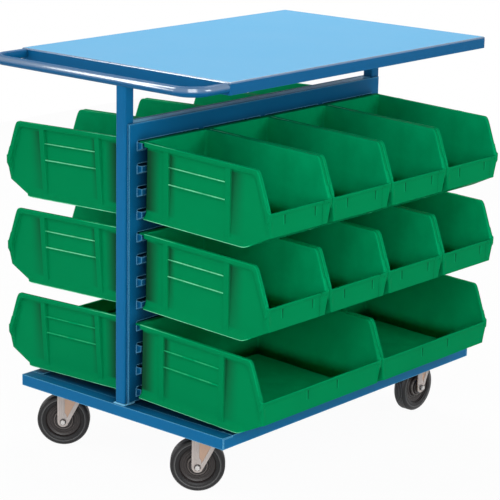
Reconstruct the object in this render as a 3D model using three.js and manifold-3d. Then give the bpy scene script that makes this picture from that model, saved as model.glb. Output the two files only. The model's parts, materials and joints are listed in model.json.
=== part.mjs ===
// Mobile bin cart: hopper bins hang from louvered panels on both sides of a two-post upright.
// The upright stands on a wheeled deck, carries a work table, and has a push handle at one end.
// Millimetres, +Z up, floor at Z = 0, X along the cart with the push handle at -X, Y across it.

import * as THREE from 'three';
import { mergeVertices } from 'three/addons/utils/BufferGeometryUtils.js';
import Module from 'manifold-3d';

// Clearances and cutting
const seatGap = 0.3; // between pieces that touch or are welded together
const runningGap = 0.6; // between a bin's hanger and the louver that holds it
const overrun = 2; // how far a cutting tool passes the face that it opens

// Deck: a sheet held under the flanges of two side channels and two end angles
const deckMargin = 34.8; // from the ends of the bin rows to the deck's ends
const deckWidth = 623;
const deckRimHeight = 26;
const deckSteel = 2.5;
const deckFlange = 31; // width of the flat flange round the deck's top
const deckToe = 16; // width of the side channels' lower flange

// Upright: two square posts and two cross rails of the same tube
const tubeSize = 28;
const tubeWall = 2;
const tubeCornerRadius = 4;
const tubeCornerSteps = 2;
const postInset = 5; // from the deck's end to the outer face of a post
const postRise = 102; // from the top rail up to the table's lower edge

// Louvered panels: shallow pans whose hems rest on the posts
const panelSteel = 1.5;
const panelHem = 3.9;
const panelLap = 20; // how far a panel laps over the face of a post
const panelRaise = 5; // from the deck's flanges to the panels' lower ends
const panelMargin = 17; // flat sheet between a panel's end and its first louver
const louverColumns = 4;
const louverPitch = 50.8;
const louverFoot = 29.6; // from a panel's lower end to the tip of its lowest louver
const louverHead = 41.6; // from the tip of the highest louver to a panel's upper end
const louverGap = 14; // flat sheet between two louvers of a row
const louverReach = 14.7; // from the sheet's face to the louver's nose
const louverUpright = 13; // the upright edge that holds a bin's hanger
const louverDrop = 6; // fall of the sloping part, from the nose back to the sheet
const louverSteel = 1.7;
const louverRelief = 3; // how far the hole behind a louver passes its upright edge

// Work table: a pan turned down all round, with a cross channel inside each end, on the posts
const tableWidth = 618;
const tableApron = 27;
const tableSteel = 2.5;
const tableHandleInset = 7; // how far the table stops short of the deck's handle end
const tableFarOverhang = 15; // how far it passes the deck's far end
const crossChannelWidth = 40;

// Push handle: a round bar bent into a U, level with the table's edge
const handleDiameter = 22;
const handleRaise = 1.6; // how far the grip's centre stands above the middle of the apron
const handleReach = 99.5; // from the table's end to the centre of the grip
const handleBendRadius = 45;
const handleSides = 10;
const handleBendSteps = 4;

// Hopper bins, measured from the top of the back wall
const binColumns = 4; // narrow bins along a row
const binPitch = 209.6; // width of one column
const binGap = 1.6; // between the rims of neighbouring bins
const binLift = 20; // how far a bin lifts to come off its louver
const binHeight = 173;
const binTopLength = 322; // along the side rim, back to front
const binLipRun = 34; // from the side rim's front end to the top of the lip, along Y
const binLipDrop = 86.4; // from the rim down to the top of the front lip
const binNoseRun = 2; // from the top of the lip to its foremost part, along Y
const binNoseRise = 35.5; // from the bin's underside up to the lip's foremost part
const binNoseLength = 66; // of the slope between the floor and the lip, along Y
const binWall = 2.6;
const binFloor = 4;
const binRimHeight = 11;
const binRimProud = 7; // how far the rim stands out from the side wall
const binDraft = 3; // how much a side wall leans in from rim to floor
const binFootInset = 2; // from the rim's outer face to the foot's
const binCornerRadius = 22;
const binCornerSteps = 1;
const binTilt = THREE.MathUtils.degToRad(2); // how far a hung bin leans forward
const ribWidth = 15;
const ribPlaceShares = [0.2, 0.744]; // places of the upright ribs, as shares of the top length
const ribFootProud = 2.5;
const lipRoll = 6; // height and thickness of the bead along the lip
const labelWidth = 103;
const labelDepth = 1.2;
const labelMargin = 6;
const hangerSteel = 3.5;
const hangerDepth = 12;
const hookShare = 0.58; // width of a hanger's hook, as a share of one column's width
const wideBinColumns = 2; // columns that one wide bin takes
const frontBottomShift = -11; // the front's wide bins hang this far towards the handle

// Casters: two that swivel at the handle end and two fixed ones at the far end
const wheelRadius = 62;
const wheelClearance = 21.5; // between the tread and the fork's crown
const wheelSegments = 16;
const tyreWidth = 32;
const tyreDepth = 17; // from the tread to the seat of the tyre on the wheel's centre
const tyreShoulder = 7;
const hubRadius = 17;
const hubLength = 37;
const webThickness = 12;
const webRim = 6;
const axleRadius = 5;
const axleGap = 0.4;
const boltHeadRadius = 8.5;
const boltHeadHeight = 5.5;
const boltSides = 6;
const forkSteel = 3.5;
const forkGap = 3; // between a fork's leg and the hub's end
const forkEndRadius = 13;
const forkEndSteps = 4;
const forkRibWidth = 14;
const forkRibProud = 1.6;
const forkRibInset = 10;
const forkCrownRadius = 30;
const casterTrail = 36; // from the swivel axis to the axle
const casterTurn = THREE.MathUtils.degToRad(-49); // where the swivel casters stand at rest
const casterInset = 100.5; // from the deck's side to the middle of each caster
const swivelSetback = 86; // from the deck's handle end to the swivel axes
const farAxleSetback = 82; // from the deck's far end to the fixed axles
const plateLength = 100;
const plateWidth = 80;
const plateSteel = 4;
const plateCorner = 10;
const raceRadius = 30;
const raceHeight = 4.5;
const raceLedge = 6;
const kingPinRadius = 7;
const kingPinHeadRadius = 11;
const kingPinHeadHeight = 4;
const roundSegments = 14;
const holeSegments = 8;

// Places in the casters and the deck, from the floor up
const axleHeight = wheelRadius * Math.cos(Math.PI / wheelSegments);
const forkInside = hubLength / 2 + forkGap;
const forkOutside = forkInside + forkSteel;
const forkCrownTop = axleHeight + wheelRadius + wheelClearance + forkSteel;
const plateBottom = forkCrownTop + 2 * (seatGap + raceHeight);
const plateTop = plateBottom + plateSteel;
const deckSheetBottom = plateTop + seatGap;
const deckSheetTop = deckSheetBottom + deckSteel;
const deckRimTop = deckSheetTop + seatGap + deckSteel;
const deckRimBottom = deckRimTop - deckRimHeight;
const deckEnd = (binColumns * binPitch) / 2 + deckMargin;
const deckSide = deckWidth / 2;
const casterAcross = deckSide - casterInset;

// How a bin hangs: its rows' spacing, and how far below a louver's tip it leans on a louver's nose
const binLipReach = binTopLength + binLipRun;
const binNoseReach = binLipReach + binNoseRun;
const binNoseDrop = binHeight - binNoseRise;
const binFloorLength = binNoseReach - binNoseLength;
const hookDrop = seatGap + hangerSteel * Math.cos(binTilt);
const rowLouvers = Math.ceil((binHeight + binLift + hookDrop) / louverPitch);
const leanRows = Math.floor((binHeight - hookDrop - louverUpright) / louverPitch);
const leanDrop = leanRows * louverPitch + louverUpright + hookDrop;
const binRows = [
  { level: 'top', taken: 1 },
  { level: 'middle', taken: 1 },
  { level: 'bottom', taken: wideBinColumns },
];

// Places in the upright and the table
const postPlace = deckEnd - postInset - tubeSize / 2;
const louverRows = binRows.length * rowLouvers;
const panelBottom = deckRimTop + panelRaise;
const topLouverTip = panelBottom + louverFoot + (louverRows - 1) * louverPitch;
const topRailTop = topLouverTip + louverHead;
const panelEnd = postPlace - tubeSize / 2 + panelLap;
const hemFace = tubeSize / 2 + seatGap;
const sheetBack = hemFace + panelHem;
const sheetFace = sheetBack + panelSteel;
const louverNose = sheetFace + louverReach;
const binBack = louverNose + seatGap + leanDrop * Math.tan(binTilt);
const tableHandleEnd = -deckEnd + tableHandleInset;
const tableFarEnd = deckEnd + tableFarOverhang;
const tableBottom = topRailTop + postRise;
const tableTop = tableBottom + tableApron;
const tableUnderside = tableTop - tableSteel;
const gripPlace = tableHandleEnd - handleReach;
const cartMiddle = (tableFarEnd + gripPlace - handleDiameter / 2) / 2;

const paint = new THREE.MeshStandardMaterial({ color: 0x2a7fb8, roughness: 0.45, metalness: 0.1 });
const tablePaint = new THREE.MeshStandardMaterial({ color: 0x4f9ed2, roughness: 0.4, metalness: 0.1 });
const plastic = new THREE.MeshStandardMaterial({ color: 0x009155, roughness: 0.5, metalness: 0 });
const rubber = new THREE.MeshStandardMaterial({ color: 0x1c1c1e, roughness: 0.7, metalness: 0 });
const wheelCentre = new THREE.MeshStandardMaterial({ color: 0x2c2c2e, roughness: 0.55, metalness: 0 });
const zinc = new THREE.MeshStandardMaterial({ color: 0xb7b1ab, roughness: 0.35, metalness: 0.9 });

const wasm = await Module();
wasm.setup();

const xAxis = new THREE.Vector3(1, 0, 0);
const yAxis = new THREE.Vector3(0, 1, 0);
const zAxis = new THREE.Vector3(0, 0, 1);

// Turns a closed geometry into a solid that can be joined and cut
function toSolid(geometry) {
  const bare = geometry.clone();
  bare.deleteAttribute('normal');
  bare.deleteAttribute('uv');
  const merged = mergeVertices(bare);
  const vertProperties = new Float32Array(merged.attributes.position.array);
  const triVerts = new Uint32Array(merged.index.array);
  return new wasm.Manifold(new wasm.Mesh({ numProp: 3, vertProperties, triVerts }));
}

function toGeometry(solid) {
  const mesh = solid.getMesh();
  const geometry = new THREE.BufferGeometry();
  geometry.setAttribute('position', new THREE.BufferAttribute(mesh.vertProperties, mesh.numProp));
  geometry.setIndex(new THREE.BufferAttribute(mesh.triVerts, 1));
  geometry.computeVertexNormals();
  return geometry;
}

// Joins the first geometries and cuts the others away from them
function combine(joined, removed = []) {
  const whole = joined.map(toSolid).reduce((sum, solid) => sum.add(solid));
  return toGeometry(removed.map(toSolid).reduce((sum, solid) => sum.subtract(solid), whole));
}

function common(first, second) {
  return toGeometry(toSolid(first).intersect(toSolid(second)));
}

// A block between two opposite corners
function block([x0, y0, z0], [x1, y1, z1]) {
  const geometry = new THREE.BoxGeometry(x1 - x0, y1 - y0, z1 - z0);
  return geometry.translate((x0 + x1) / 2, (y0 + y1) / 2, (z0 + z1) / 2);
}

// A prism of an outline, with an opening right through it if one is given
function extrude(outline, depth, opening) {
  const points = (pairs) => pairs.map(([u, v]) => new THREE.Vector2(u, v));
  const shape = new THREE.Shape(points(outline));
  if (opening) shape.holes.push(new THREE.Path(points(opening)));
  return new THREE.ExtrudeGeometry(shape, { depth, bevelEnabled: false });
}

// The same along one axis, with the outline drawn in the plane of the other two
function alongX(outline, start, end, opening) {
  const turn = new THREE.Matrix4().makeBasis(yAxis, zAxis, xAxis);
  return extrude(outline, end - start, opening).applyMatrix4(turn).translate(start, 0, 0);
}

function alongY(outline, start, end) {
  const turn = new THREE.Matrix4().makeBasis(xAxis, zAxis, yAxis.clone().negate());
  return extrude(outline, end - start).applyMatrix4(turn).translate(0, end, 0);
}

function alongZ(outline, start, end, opening) {
  return extrude(outline, end - start, opening).translate(0, 0, start);
}

// A turned piece whose profile holds [radius, height] pairs, round the Y axis
function turned(profile, segments) {
  const points = profile.map(([radius, height]) => new THREE.Vector2(radius, height));
  return new THREE.LatheGeometry(points, segments, Math.PI / segments);
}

// The same round an upright axis
function turnedUpright(profile) {
  return turned(profile, roundSegments).rotateX(Math.PI / 2);
}

// Points of an arc from one angle to another
function arc([u, v], radius, from, to, steps) {
  return Array.from({ length: steps + 1 }, (_, step) => {
    const angle = from + ((to - from) * step) / steps;
    return [u + radius * Math.cos(angle), v + radius * Math.sin(angle)];
  });
}

function roundedSquare(size, radius) {
  const side = size / 2 - radius;
  const quarter = Math.PI / 2;
  return [[side, side], [-side, side], [-side, -side], [side, -side]].flatMap((centre, turn) =>
    arc(centre, radius, turn * quarter, (turn + 1) * quarter, tubeCornerSteps));
}

const tubeOutline = roundedSquare(tubeSize, tubeCornerRadius);
const tubeBore = roundedSquare(tubeSize - 2 * tubeWall, tubeCornerRadius - tubeWall);

const cart = new THREE.Group();
cart.position.x = -cartMiddle;

function place(name, geometry, material, parent = cart) {
  const mesh = new THREE.Mesh(geometry, material);
  mesh.name = name;
  parent.add(mesh);
  return mesh;
}

// Deck
function sideChannel() {
  const inner = deckSide - deckSteel;
  const shelf = deckSide - deckFlange;
  const toe = deckSide - deckToe;
  const flangeUnderside = deckRimTop - deckSteel;
  const outline = [
    [deckSide, deckRimBottom],
    [deckSide, deckRimTop],
    [shelf, deckRimTop],
    [shelf, flangeUnderside],
    [inner, flangeUnderside],
    [inner, deckRimBottom + deckSteel],
    [toe, deckRimBottom + deckSteel],
    [toe, deckRimBottom],
  ];
  const end = deckEnd - deckSteel - seatGap;
  const cope = block(
    [deckEnd - deckFlange - seatGap, shelf - overrun, flangeUnderside - seatGap],
    [deckEnd, deckSide + overrun, deckRimTop + overrun],
  );
  const toOtherEnd = deckFlange + seatGap - 2 * deckEnd;
  return combine([alongX(outline, -end, end)], [cope, cope.clone().translate(toOtherEnd, 0, 0)]);
}

function endAngle() {
  const inner = deckEnd - deckSteel;
  const shelf = deckEnd - deckFlange;
  const outline = [
    [deckEnd, deckRimBottom],
    [deckEnd, deckRimTop],
    [shelf, deckRimTop],
    [shelf, deckRimTop - deckSteel],
    [inner, deckRimTop - deckSteel],
    [inner, deckRimBottom],
  ];
  return alongY(outline, -deckSide, deckSide);
}

function deckSheet() {
  const end = deckEnd - deckSteel - seatGap;
  const side = deckSide - deckSteel - seatGap;
  return block([-end, -side, deckSheetBottom], [end, side, deckSheetTop]);
}

function buildDeck() {
  place('deck_sheet', deckSheet(), paint);
  place('deck_side_channel_back', sideChannel(), paint);
  place('deck_side_channel_front', sideChannel(), paint).rotation.z = Math.PI;
  place('deck_end_bar_far', endAngle(), paint);
  place('deck_end_bar_handle', endAngle(), paint).rotation.z = Math.PI;
}

// Upright
function post() {
  return alongZ(tubeOutline, deckRimTop + seatGap, tableBottom - seatGap, tubeBore);
}

function crossRail() {
  const end = postPlace - tubeSize / 2 - seatGap;
  return alongX(tubeOutline, -end, end, tubeBore);
}

// One punched louver is a scoop pressed out of the sheet, open above and closed at its ends
function louverForms(half) {
  const slope = louverDrop / louverReach;
  const rise = louverSteel * Math.hypot(1, slope);
  const root = -louverUpright - louverDrop;
  const inside = louverNose - louverSteel;
  const behind = sheetBack - overrun;
  const scoop = [
    [louverNose, 0],
    [sheetBack, 0],
    [sheetBack, root - slope * panelSteel],
    [louverNose, -louverUpright],
  ];
  const pocket = [
    [inside, louverRelief],
    [behind, louverRelief],
    [behind, root + rise + slope * (behind - sheetFace)],
    [inside, root + rise + slope * (inside - sheetFace)],
  ];
  const side = half - louverSteel;
  return { scoop: alongX(scoop, -half, half), pocket: alongX(pocket, -side, side) };
}

function louveredPanel() {
  const outer = block([-panelEnd, hemFace, panelBottom], [panelEnd, sheetFace, topRailTop]);
  const inner = block(
    [-panelEnd + panelSteel, hemFace - overrun, panelBottom + panelSteel],
    [panelEnd - panelSteel, sheetBack, topRailTop - panelSteel],
  );
  const columnPitch = (2 * (panelEnd - panelMargin)) / louverColumns;
  const { scoop, pocket } = louverForms((columnPitch - louverGap) / 2);
  const scoops = [];
  const pockets = [];
  for (let row = 0; row < louverRows; row += 1) {
    const tip = topLouverTip - row * louverPitch;
    for (let column = 0; column < louverColumns; column += 1) {
      const middle = (column - (louverColumns - 1) / 2) * columnPitch;
      scoops.push(scoop.clone().translate(middle, 0, tip));
      pockets.push(pocket.clone().translate(middle, 0, tip));
    }
  }
  return combine([combine([outer], [inner]), ...scoops], pockets);
}

function buildUpright() {
  place('post_far', post(), paint).position.x = postPlace;
  place('post_handle', post(), paint).position.x = -postPlace;
  place('top_rail', crossRail(), paint).position.z = topRailTop - tubeSize / 2;
  place('bottom_rail', crossRail(), paint).position.z = panelBottom + tubeSize / 2;
  place('louver_panel_back', louveredPanel(), paint);
  place('louver_panel_front', louveredPanel(), paint).rotation.z = Math.PI;
}

// Work table and push handle
function tablePan() {
  const side = tableWidth / 2;
  const outer = block([tableHandleEnd, -side, tableBottom], [tableFarEnd, side, tableTop]);
  const inner = block(
    [tableHandleEnd + tableSteel, -side + tableSteel, tableBottom - overrun],
    [tableFarEnd - tableSteel, side - tableSteel, tableUnderside],
  );
  return combine([outer], [inner]);
}

// A channel that opens upwards, with its web on the posts and its flanges under the table
function crossChannel() {
  const top = tableUnderside - seatGap;
  const half = crossChannelWidth / 2;
  const outline = [
    [-half, top],
    [-half, tableBottom],
    [half, tableBottom],
    [half, top],
    [half - tableSteel, top],
    [half - tableSteel, tableBottom + tableSteel],
    [-half + tableSteel, tableBottom + tableSteel],
    [-half + tableSteel, top],
  ];
  const end = tableWidth / 2 - tableSteel - seatGap;
  return alongY(outline, -end, end);
}

function pushHandle() {
  const arm = tableWidth / 2 - handleDiameter / 2;
  const start = tableHandleEnd - seatGap;
  const level = tableTop - tableApron / 2 + handleRaise;
  const bend = gripPlace + handleBendRadius;
  const side = arm - handleBendRadius;
  const corner = (sign, from, to) => arc([bend, sign * side], handleBendRadius, from, to, handleBendSteps);
  const points = [
    [start, -arm],
    ...corner(-1, -Math.PI / 2, -Math.PI),
    ...corner(1, Math.PI, Math.PI / 2),
    [start, arm],
  ];
  const section = arc([0, 0], handleDiameter / 2, 0, 2 * Math.PI, handleSides).slice(0, -1);
  return sweptBar(points.map(([x, y]) => new THREE.Vector3(x, y, level)), section);
}

// A bar of one section along a level line of points, mitred at its corners and closed at its ends
function sweptBar(line, section) {
  const positions = [];
  const indices = [];
  const last = line.length - 1;
  line.forEach((point, index) => {
    const before = line[Math.max(index - 1, 0)];
    const after = line[Math.min(index + 1, last)];
    const into = point.clone().sub(before).normalize();
    const out = after.clone().sub(point).normalize();
    const along = into.clone().add(out).normalize();
    const across = new THREE.Vector3().crossVectors(zAxis, along);
    const stretch = index === 0 || index === last ? 1 : 1 / along.dot(into);
    for (const [u, v] of section) {
      const corner = point.clone().addScaledVector(across, u * stretch).addScaledVector(zAxis, v);
      positions.push(corner.x, corner.y, corner.z);
    }
  });
  const count = section.length;
  for (let ring = 0; ring < last; ring += 1) {
    for (let side = 0; side < count; side += 1) {
      const a = ring * count + side;
      const b = ring * count + ((side + 1) % count);
      indices.push(a, b, a + count, b, b + count, a + count);
    }
  }
  for (let side = 1; side < count - 1; side += 1) {
    indices.push(0, side + 1, side);
    indices.push(last * count, last * count + side, last * count + side + 1);
  }
  const geometry = new THREE.BufferGeometry();
  geometry.setAttribute('position', new THREE.Float32BufferAttribute(positions, 3));
  geometry.setIndex(indices);
  geometry.computeVertexNormals();
  return geometry;
}

function buildTable() {
  place('work_table', tablePan(), tablePaint);
  const inset = tableSteel + seatGap + crossChannelWidth / 2;
  place('cross_channel_far', crossChannel(), paint).position.x = tableFarEnd - inset;
  place('cross_channel_handle', crossChannel(), paint).position.x = tableHandleEnd + inset;
  place('push_handle', pushHandle(), tablePaint);
}

// Hopper bins, drawn with X across, Y out from the back wall and Z up from the rim
function binOutline() {
  return [
    [0, 0],
    [0, -binHeight],
    [binFloorLength, -binHeight],
    [binNoseReach, -binNoseDrop],
    [binLipReach, -binLipDrop],
    [binTopLength, 0],
  ];
}

function cavityOutline() {
  const floor = -binHeight + binFloor;
  const slope = (binHeight - binNoseDrop) / (binNoseReach - binFloorLength);
  const thickness = binWall * Math.hypot(1, slope);
  const nose = binNoseReach - binWall;
  const noseHeight = -binNoseDrop + thickness - slope * binWall;
  return [
    [binWall, overrun],
    [binWall, floor],
    [nose - (noseHeight - floor) / slope, floor],
    [nose, noseHeight],
    [binLipReach - binWall, -binLipDrop],
    [binNoseReach + overrun, -binLipDrop],
    [binNoseReach + overrun, overrun],
  ];
}

// A body seen from above: straight sides and rounded back corners
function planOutline(halfWidth, back, radius) {
  const front = binNoseReach + 2 * overrun;
  const side = halfWidth - radius;
  return [
    [-halfWidth, front],
    ...arc([-side, back + radius], radius, Math.PI, 1.5 * Math.PI, binCornerSteps),
    ...arc([side, back + radius], radius, 1.5 * Math.PI, 2 * Math.PI, binCornerSteps),
    [halfWidth, front],
  ];
}

// Leans the sides in towards the floor, by the draft at the floor's own depth
function draftSides(geometry, halfWidth) {
  const position = geometry.attributes.position;
  for (let index = 0; index < position.count; index += 1) {
    const lean = (-position.getZ(index) / binHeight) * (binDraft / halfWidth);
    position.setX(index, position.getX(index) * (1 - lean));
  }
  return geometry;
}

function tub(outline, halfWidth, back, radius, wallHalf) {
  const bottom = -binHeight - overrun;
  const profile = alongX(outline, -halfWidth, halfWidth);
  const plan = alongZ(planOutline(halfWidth, back, radius), bottom, 2 * overrun);
  return common(draftSides(profile, wallHalf), draftSides(plan, wallHalf));
}

function rimOutline() {
  const slope = (binLipReach - binTopLength) / binLipDrop;
  const band = binRimHeight * Math.hypot(1, slope);
  return [
    [0, 0],
    [0, -binRimHeight],
    [binTopLength + slope * binRimHeight - band, -binRimHeight],
    [binLipReach - band, -binLipDrop],
    [binLipReach, -binLipDrop],
    [binTopLength, 0],
  ];
}

// A rib from the rim to the foot, deepest under the rim
function uprightRib(wallHalf, rimHalf) {
  const floorWall = wallHalf - binDraft;
  const foot = -binHeight + binFloor / 2;
  const outline = [
    [floorWall - binWall / 2, -binRimHeight / 2],
    [floorWall - binWall / 2, foot],
    [floorWall + ribFootProud, foot],
    [rimHalf - ribFootProud, -binRimHeight / 2],
  ];
  return alongY(outline, -ribWidth / 2, ribWidth / 2);
}

function hangerOutlines() {
  const tipFace = louverNose - louverSteel - runningGap;
  const outer = (tipFace - binBack + hangerSteel * Math.sin(binTilt)) / Math.cos(binTilt);
  const inner = outer - hangerSteel;
  return {
    ledge: [
      [binWall / 2, 0],
      [inner, 0],
      [inner, -hangerSteel],
      [binWall / 2, -hangerSteel],
    ],
    hook: [
      [outer, -hangerSteel / 2],
      [inner, -hangerSteel / 2],
      [inner, -hangerDepth],
      [outer, -hangerDepth],
    ],
  };
}

// The recess on the lip's face that takes a label
function labelRecess() {
  const lean = (binNoseReach - binLipReach) / (binNoseDrop - binLipDrop);
  const top = binLipDrop + lipRoll + labelMargin;
  const bottom = binNoseDrop - labelMargin;
  const face = (drop) => binLipReach + lean * (drop - binLipDrop);
  const outline = [
    [face(top) - labelDepth, -top],
    [face(bottom) - labelDepth, -bottom],
    [face(bottom) + overrun, -bottom],
    [face(top) + overrun, -top],
  ];
  return alongX(outline, -labelWidth / 2, labelWidth / 2);
}

function lipBead(halfWidth) {
  const outline = [
    [binLipReach - binWall / 2, -binLipDrop],
    [binLipReach - binWall / 2, -binLipDrop - lipRoll],
    [binLipReach + lipRoll / 2, -binLipDrop - lipRoll],
    [binLipReach + lipRoll / 2, -binLipDrop],
  ];
  return alongX(outline, -halfWidth, halfWidth);
}

function hopperBin(columns) {
  const rimHalf = (columns * binPitch - binGap) / 2;
  const wallHalf = rimHalf - binRimProud;
  const footHalf = rimHalf - binFootInset;
  const shell = tub(binOutline(), wallHalf, 0, binCornerRadius, wallHalf);
  const cavity = tub(cavityOutline(), wallHalf - binWall, binWall, binCornerRadius - binWall, wallHalf);
  const foot = block([-footHalf, 0, -binHeight], [footHalf, binFloorLength, -binHeight + binFloor]);
  const backRim = block([-rimHalf, 0, -binRimHeight], [rimHalf, binCornerRadius, 0]);
  const { ledge, hook } = hangerOutlines();
  const hookHalf = (binPitch * hookShare) / 2;
  const hanger = [alongX(ledge, -rimHalf, rimHalf)];
  for (let column = 0; column < columns; column += 1) {
    const middle = (column - (columns - 1) / 2) * binPitch;
    hanger.push(alongX(hook, middle - hookHalf, middle + hookHalf));
  }
  const ribs = [];
  for (const share of ribPlaceShares) {
    const rib = uprightRib(wallHalf, rimHalf).translate(0, share * binTopLength, 0);
    ribs.push(rib, rib.clone().rotateZ(Math.PI).translate(0, 2 * share * binTopLength, 0));
  }
  const rim = rimOutline();
  const rims = [
    alongX(rim, wallHalf - binWall - overrun, rimHalf),
    alongX(rim, -rimHalf, -wallHalf + binWall + overrun),
  ];
  const openTub = combine([shell, foot, backRim, ...rims, ...ribs], [cavity, labelRecess()]);
  return combine([openTub, lipBead(wallHalf - binDraft), ...hanger]);
}

function hangBin(name, geometry, side, along, louverRow) {
  const mesh = place(name, geometry, plastic);
  const tip = topLouverTip - louverRow * louverPitch;
  mesh.rotation.set(-binTilt, 0, side > 0 ? 0 : Math.PI, 'ZYX');
  mesh.position.set(along, side * binBack, tip + hookDrop);
}

function buildBins() {
  const narrow = hopperBin(1);
  const wide = hopperBin(wideBinColumns);
  for (const [face, side] of [['front', -1], ['back', 1]]) {
    binRows.forEach(({ level, taken }, row) => {
      const geometry = taken > 1 ? wide : narrow;
      const count = Math.floor(binColumns / taken);
      const shift = face === 'front' && level === 'bottom' ? frontBottomShift : 0;
      for (let index = 0; index < count; index += 1) {
        const along = (index - (count - 1) / 2) * taken * binPitch + shift;
        hangBin(`bin_${face}_${level}_${index + 1}`, geometry, side, along, row * rowLouvers);
      }
    });
  }
}

// Casters, drawn with the axle along Y at X = 0 and the swivel axis at X = casterTrail
function tyre() {
  const seat = wheelRadius - tyreDepth;
  const half = tyreWidth / 2;
  const profile = [
    [seat, -half],
    [wheelRadius - tyreShoulder, -half],
    [wheelRadius, -half + tyreShoulder],
    [wheelRadius, half - tyreShoulder],
    [wheelRadius - tyreShoulder, half],
    [seat, half],
    [seat, -half],
  ];
  return turned(profile, wheelSegments);
}

function wheelDisc() {
  const rim = wheelRadius - tyreDepth - seatGap;
  const bore = axleRadius + axleGap;
  const half = tyreWidth / 2;
  const profile = [
    [bore, -hubLength / 2],
    [hubRadius, -hubLength / 2],
    [rim - webRim, -webThickness / 2],
    [rim, -half],
    [rim, half],
    [rim - webRim, webThickness / 2],
    [hubRadius, hubLength / 2],
    [bore, hubLength / 2],
    [bore, -hubLength / 2],
  ];
  return turned(profile, wheelSegments);
}

// The axle bolt with its head and nut
function axleBolt() {
  const grip = forkOutside + forkRibProud + seatGap;
  const end = grip + boltHeadHeight;
  const profile = [
    [0, -end],
    [boltHeadRadius, -end],
    [boltHeadRadius, -grip],
    [axleRadius, -grip],
    [axleRadius, grip],
    [boltHeadRadius, grip],
    [boltHeadRadius, end],
    [0, end],
  ];
  return turned(profile, boltSides);
}

// One leg of a fork: upright behind the axle, sloping forward in front of it
function forkLeg(top, side) {
  const front = casterTrail + forkCrownRadius - forkEndRadius / 2;
  const touch = Math.atan2(top, front) - Math.acos(forkEndRadius / Math.hypot(front, top));
  const outline = [
    [-forkEndRadius, top],
    ...arc([0, 0], forkEndRadius, Math.PI, 2 * Math.PI + touch, forkEndSteps),
    [front, top],
  ];
  const [inside, outside] = [side * forkInside, side * forkOutside];
  return alongY(outline, Math.min(inside, outside), Math.max(inside, outside));
}

// The pressed rib that stiffens a leg
function forkRib(top, side) {
  const half = forkRibWidth / 2;
  const outline = [
    [-half, forkEndRadius],
    [half, forkEndRadius],
    [half, top - forkRibInset],
    [-half, top - forkRibInset],
  ];
  const [root, crest] = [side * (forkOutside - forkSteel / 2), side * (forkOutside + forkRibProud)];
  return alongY(outline, Math.min(root, crest), Math.max(root, crest));
}

function forkLegs(top) {
  return [-1, 1].flatMap((side) => [forkLeg(top, side), forkRib(top, side)]);
}

// A drilled hole's cylinder along Y, whose flats clear the given radius
function drill(radius, from, to) {
  const corner = radius / Math.cos(Math.PI / holeSegments);
  return turned([[0, from], [corner, from], [corner, to], [0, to]], holeSegments);
}

function axleHole() {
  const reach = forkOutside + forkRibProud + overrun;
  return drill(axleRadius + axleGap, -reach, reach);
}

function swivelFork() {
  const top = forkCrownTop - axleHeight;
  const bottom = top - forkSteel;
  const crown = block([-forkEndRadius, -forkOutside, bottom], [casterTrail, forkOutside, top]);
  const disc = turnedUpright([[0, bottom], [forkCrownRadius, bottom], [forkCrownRadius, top], [0, top]]);
  const hole = drill(kingPinRadius + axleGap, bottom - overrun, top + overrun).rotateX(Math.PI / 2);
  const pieces = [crown, disc.translate(casterTrail, 0, 0), ...forkLegs(top)];
  return combine(pieces, [hole.translate(casterTrail, 0, 0), axleHole()]);
}

// The top plate of a swivel caster, with its raceway and the king pin riveted into it
function swivelPlate() {
  const top = plateTop;
  const raceway = plateBottom - raceHeight;
  const headTop = forkCrownTop - forkSteel - seatGap;
  const headBottom = headTop - kingPinHeadHeight;
  const plate = topPlate(0);
  const pin = turnedUpright([
    [0, headBottom],
    [kingPinHeadRadius, headBottom],
    [kingPinHeadRadius, headTop],
    [kingPinRadius, headTop],
    [kingPinRadius, raceway],
    [raceRadius - raceLedge, raceway],
    [raceRadius, plateBottom],
    [raceRadius - raceLedge, top - plateSteel / 2],
    [0, top - plateSteel / 2],
  ]);
  return combine([plate, pin]);
}

function topPlate(along) {
  const side = plateWidth / 2;
  const end = plateLength / 2;
  const outline = [
    [along - end + plateCorner, -side],
    [along + end - plateCorner, -side],
    [along + end, -side + plateCorner],
    [along + end, side - plateCorner],
    [along + end - plateCorner, side],
    [along - end + plateCorner, side],
    [along - end, side - plateCorner],
    [along - end, -side + plateCorner],
  ];
  return alongZ(outline, plateBottom, plateTop);
}

function ballRace() {
  const bottom = forkCrownTop + seatGap;
  const top = bottom + raceHeight;
  const bore = kingPinRadius + axleGap;
  const waist = raceRadius - raceLedge / 2;
  return turnedUpright([
    [bore, bottom],
    [waist, bottom],
    [raceRadius, (bottom + top) / 2],
    [waist, top],
    [bore, top],
    [bore, bottom],
  ]);
}

function fixedFork() {
  const top = plateBottom + plateSteel / 2 - axleHeight;
  const middle = (casterTrail + forkCrownRadius) / 2 - forkEndRadius;
  const plate = topPlate(middle).translate(0, 0, -axleHeight);
  return combine([plate, ...forkLegs(top)], [axleHole()]);
}

function buildWheel(name, parent) {
  place(`tyre_${name}`, tyre(), rubber, parent);
  place(`wheel_centre_${name}`, wheelDisc(), wheelCentre, parent);
  place(`axle_bolt_${name}`, axleBolt(), zinc, parent);
}

function casterGroup(along, across, turn) {
  const group = new THREE.Group();
  group.position.set(along, across, axleHeight);
  group.rotation.z = turn;
  cart.add(group);
  return group;
}

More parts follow.
